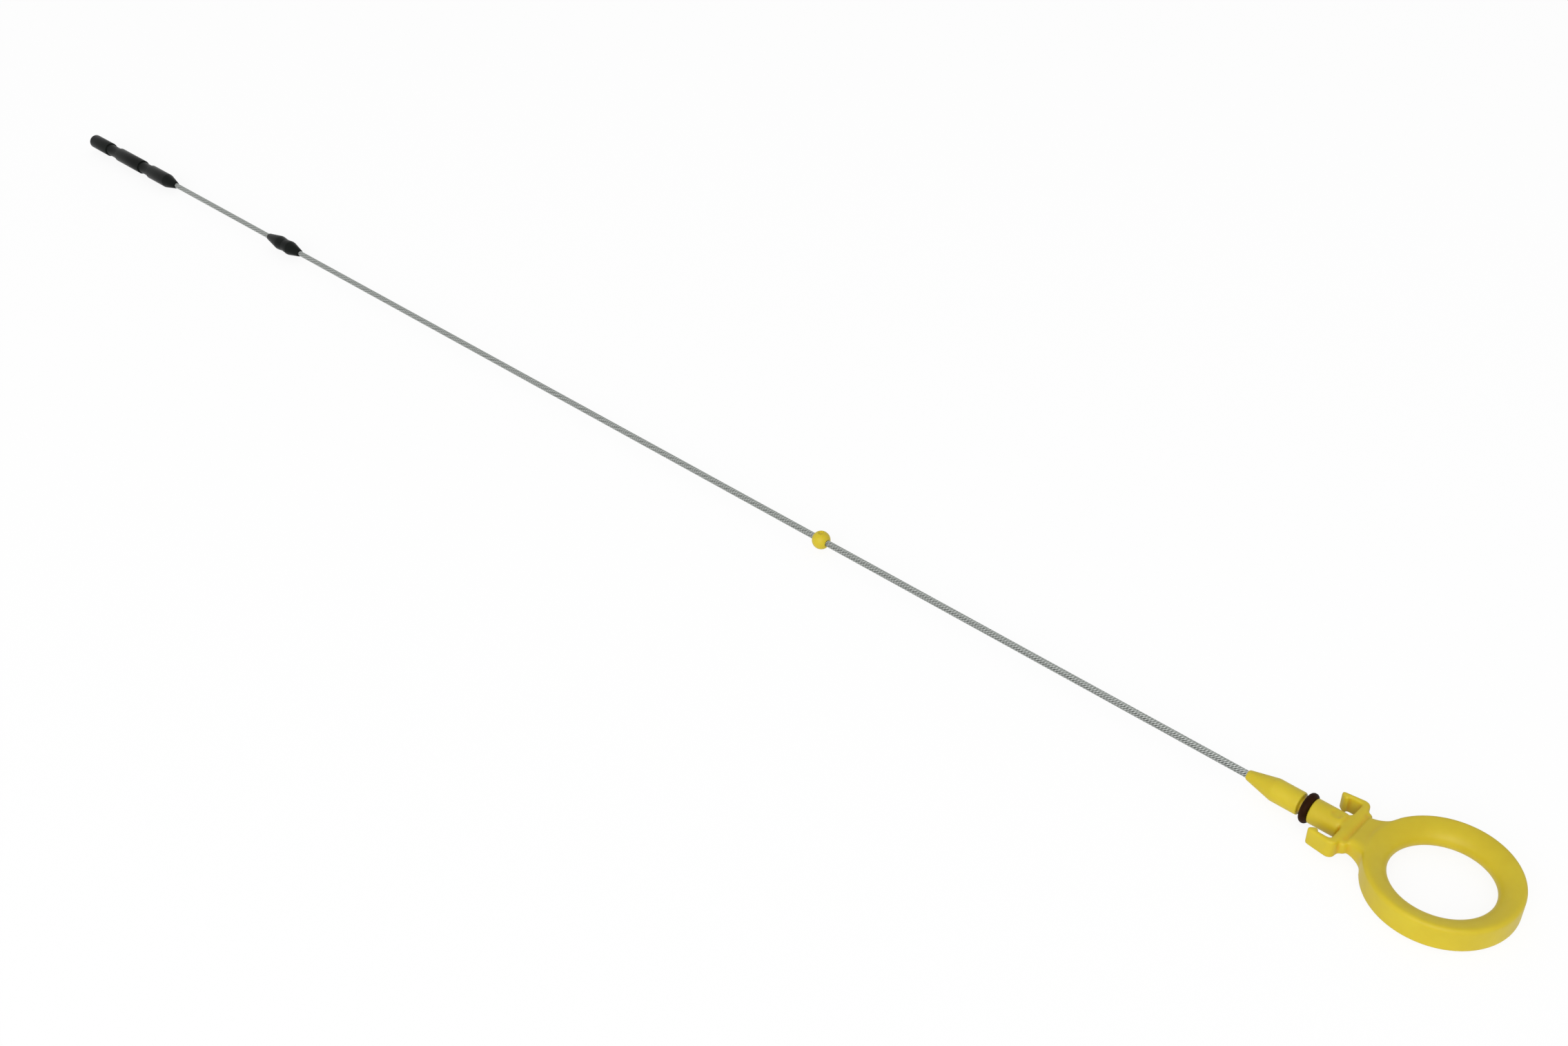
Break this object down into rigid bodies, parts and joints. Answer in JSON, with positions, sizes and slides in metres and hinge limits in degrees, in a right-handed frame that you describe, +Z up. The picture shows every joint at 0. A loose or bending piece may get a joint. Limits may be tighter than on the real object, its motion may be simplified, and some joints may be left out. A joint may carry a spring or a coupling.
{
  "type": "oil dipstick",
  "caption": "Engine oil dipstick: a finger-ring handle with a snap clip and a sealed plug, a stiff steel strand with a bead and a guide, and a waisted gauge tip.",
  "frame": {"origin": "on the strand's axis, in the front face of the snap clip's bar, where the mouth of the dipstick tube seats", "axes": "+X along the strand from the handle to the gauge tip; the finger ring lies flat in XY; +Z up out of the ring's face"},
  "size_m": [0.7229, 0.0404, 0.009],
  "materials": {
    "yellow_nylon": "satin moulded nylon, yellow",
    "seal_rubber": "dark brown oil-resistant rubber",
    "steel_strand": "bare laid spring-steel wire",
    "black_nylon": "satin moulded nylon, black"
  },
  "bodies": {
    "root": {"handle": "yellow_nylon", "seal_ring": "seal_rubber", "strand": "steel_strand", "bead": "yellow_nylon", "guide": "black_nylon", "gauge_tip": "black_nylon"}
  },
  "joints": []
}
